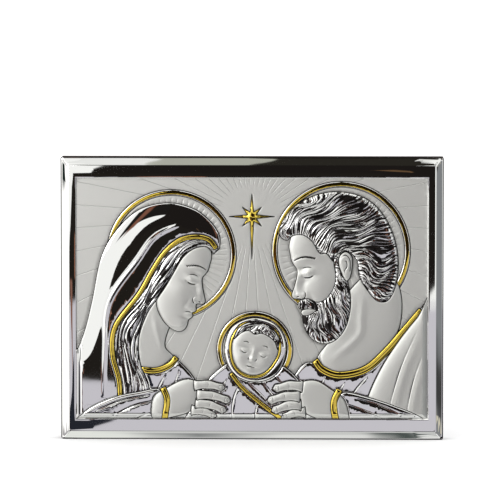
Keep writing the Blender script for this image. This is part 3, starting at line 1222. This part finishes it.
# Each card's corners, in degrees to the right of straight ahead and above it, its softness and the
# light it sends. A later card stands in front of the ones before it.
CARDS = [
    ([(-78, -50), (-78, 50), (-24, 50), (-24, -50)], 0.02, (1.32, 1.32, 1.29)),
    ([(-20, -36), (-20, -10.5), (36, -10.5), (36, -36)], 0.02, (0.016, 0.014, 0.013)),
    ([(-12, -33), (-16, -14), (-9, -14), (-4, -33)], 0.03, (0.20, 0.09, 0.06)),
    ([(-5, 26), (-14.5, 72), (-7.4, 72), (-2.9, 26)], 0.002, (0.84, 0.85, 0.83)),
    ([(-2.9, 26), (-7.4, 72), (0, 72), (0, 26)], 0.0005, (0.42, 0.43, 0.37)),
    ([(-1.7, 26), (-2.9, 72), (6, 72), (3, 26)], 0.0006, (0.022, 0.020, 0.016)),
    ([(1.21, 52), (2.41, 72), (10, 72), (6, 52)], 0.0008, (0.70, 0.70, 0.68)),
    ([(-24, -10.5), (-24, -4.9), (-10.4, -4.9), (-10.4, -10.5)], 0.003, (0.05, 0.030, 0.025)),
    ([(-88, -50), (-88, -8), (-40, -8), (-40, -50)], 0.030, (0.40, 0.39, 0.40)),
    ([(-88, 3), (-88, 50), (-46, 50), (-46, 3)], 0.030, (0.60, 0.60, 0.59)),
    ([(42, -50), (42, 50), (88, 50), (88, -50)], 0.030, (0.22, 0.23, 0.24)),
    ([(44, -6.1), (44, -5.3), (80, -5.3), (80, -6.1)], 0.006, (0.05, 0.05, 0.05)),
    ([(44, -8), (44, -6.3), (80, -6.3), (80, -8)], 0.006, (0.60, 0.57, 0.45)),
    ([(-13, 3), (-9, 34), (0, 34), (0, 3)], 0.006, (0.012, 0.011, 0.010)),
    ([(-10, 2), (-7, 30), (-5.5, 30), (-7.5, 2)], 0.010, (0.20, 0.085, 0.055)),
    ([(-3.65, -4.8), (0, 28), (28, 28), (24, -4.3)], 0.0006, (0.012, 0.010, 0.009)),
    ([(-3.6, -3.0), (-13.0, -4.9), (0, -4.9), (0, -3.0)], 0.0005, (0.014, 0.012, 0.010)),
    ([(-9.4, -4.65), (-6.0, -5.7), (-5.4, -5.7), (-6.0, -4.65)], 0.0008, (0.22, 0.11, 0.08)),
    ([(-10.5, -6.3), (-3.12, -5.4), (-3.51, -10.5), (-10.5, -10.5)], 0.0006, (0.018, 0.020, 0.028)),
    ([(-2.75, -4.6), (-2.75, -4.15), (-2.0, -4.2), (-2.0, -4.6)], 0.001, (0.30, 0.14, 0.09)),
    ([(-0.1, -1.5), (0.5, -2.8), (0.6, -2.5), (0.2, -1.3)], 0.001, (0.12, 0.07, 0.035)),
    ([(15, -4), (13, 26), (17, 26), (19, -4)], 0.020, (0.16, 0.075, 0.05)),
    ([(-80, -3.5), (-80, 0), (-56, 0), (-56, -3.5)], 0.002, (0.02, 0.03, 0.028)),
    ([(-9, -40), (-30, -78), (8, -78), (3, -40)], 0.010, (0.60, 0.61, 0.60)),
    ([(-9, -60), (-30, -78), (8, -78), (3, -60)], 0.080, (0.78, 0.79, 0.77)),
    ([(-3.9, -40), (-11.3, -78), (-30, -78), (-9, -40)], 0.010, (0.80, 0.82, 0.78)),
    ([(-4.5, -54), (-6.0, -66), (-4.0, -66), (-2.6, -54)], 0.010, (0.24, 0.25, 0.25)),
    ([(-0.1, -48), (0.2, -68), (1.4, -68), (0.6, -48)], 0.004, (0.07, 0.085, 0.08)),
]


LAMP_AT = (-0.42, -0.62, 0.20)
LAMP_AIM = (-0.05, 0.0, 0.0)
LAMP_SIZE = 0.25
LAMP_POWER = 0.8


def towards(azimuth, elevation):
    a, e = math.radians(azimuth), math.radians(elevation)
    return Vector((math.sin(a) * math.cos(e), -math.cos(a) * math.cos(e), math.sin(e)))


def studio():
    world = bpy.data.worlds.new("soft_studio")
    world.use_nodes = True
    tree = world.node_tree
    tree.nodes.clear()
    group = soft_card_group()
    way = add(tree, "ShaderNodeTexCoord").outputs["Generated"]
    _, depth, height = add(tree, "ShaderNodeSeparateXYZ", {0: way}).outputs
    light = blend(tree, between(tree, height, -0.66, -0.56), (0.85, 0.86, 0.85, 1),
                  (0.578, 0.565, 0.610, 1))
    light = blend(tree, between(tree, height, -0.086, -0.0845), light, (0.96, 0.97, 0.95, 1))
    for corners, soft, colour in CARDS:
        corners = [towards(*corner) for corner in corners]
        centre = sum(corners, Vector())
        card = add(tree, "ShaderNodeGroup", node_tree=group)
        for k in range(4):
            side = corners[k].cross(corners[(k + 1) % 4]).normalized()
            card.inputs[k].default_value = side if side.dot(centre) > 0 else -side
        card.inputs["Softness"].default_value = soft
        light = blend(tree, card.outputs["Mask"], light, (*colour, 1.0))
    light = blend(tree, between(tree, depth, 0.0, 0.08), light, (0.02, 0.02, 0.02, 1))
    mirrored = add(tree, "ShaderNodeBackground", {"Color": light, "Strength": 1.0})
    plain = add(tree, "ShaderNodeBackground", {"Color": (1.0, 1.0, 1.0, 1.0), "Strength": 1.30})
    glossy_ray = add(tree, "ShaderNodeLightPath").outputs["Is Glossy Ray"]
    both = add(tree, "ShaderNodeMixShader", {0: glossy_ray, 1: plain.outputs[0],
                                             2: mirrored.outputs[0]})
    add(tree, "ShaderNodeOutputWorld", {"Surface": both.outputs[0]})
    scene.world = world


def side_lamp():
    """One soft lamp near the plaque, which makes its satin brighter towards the left."""
    lamp = bpy.data.lights.new("side_lamp", "AREA")
    lamp.size = LAMP_SIZE
    lamp.energy = LAMP_POWER
    made = bpy.data.objects.new("side_lamp", lamp)
    made.location = LAMP_AT
    made.rotation_euler = (Vector(LAMP_AIM) - Vector(LAMP_AT)).to_track_quat("-Z", "Y").to_euler()
    scene.collection.objects.link(made)


studio()
side_lamp()
scene.view_settings.view_transform = "Standard"


# The camera
# A long lens, a few metres off, a little to the right of the plaque and a little above it.

CAMERA_AZIMUTH = 1.5
CAMERA_ELEVATION = 4.3
CAMERA_DISTANCE = 3.508
CAMERA_AIM = (-0.00145, -0.0155, 0.03415)
CAMERA_LENS = 358.2


def camera():
    a, e = math.radians(CAMERA_AZIMUTH), math.radians(CAMERA_ELEVATION)
    back = Vector((math.sin(a) * math.cos(e), -math.cos(a) * math.cos(e), math.sin(e)))
    data = bpy.data.cameras.new("photo_camera")
    data.lens = CAMERA_LENS
    data.sensor_width = 36.0
    data.clip_start, data.clip_end = 0.1, 50.0
    made = bpy.data.objects.new("photo_camera", data)
    made.location = Vector(CAMERA_AIM) + back * CAMERA_DISTANCE
    made.rotation_euler = (-back).to_track_quat("-Z", "Y").to_euler()
    scene.collection.objects.link(made)
    scene.camera = made


camera()
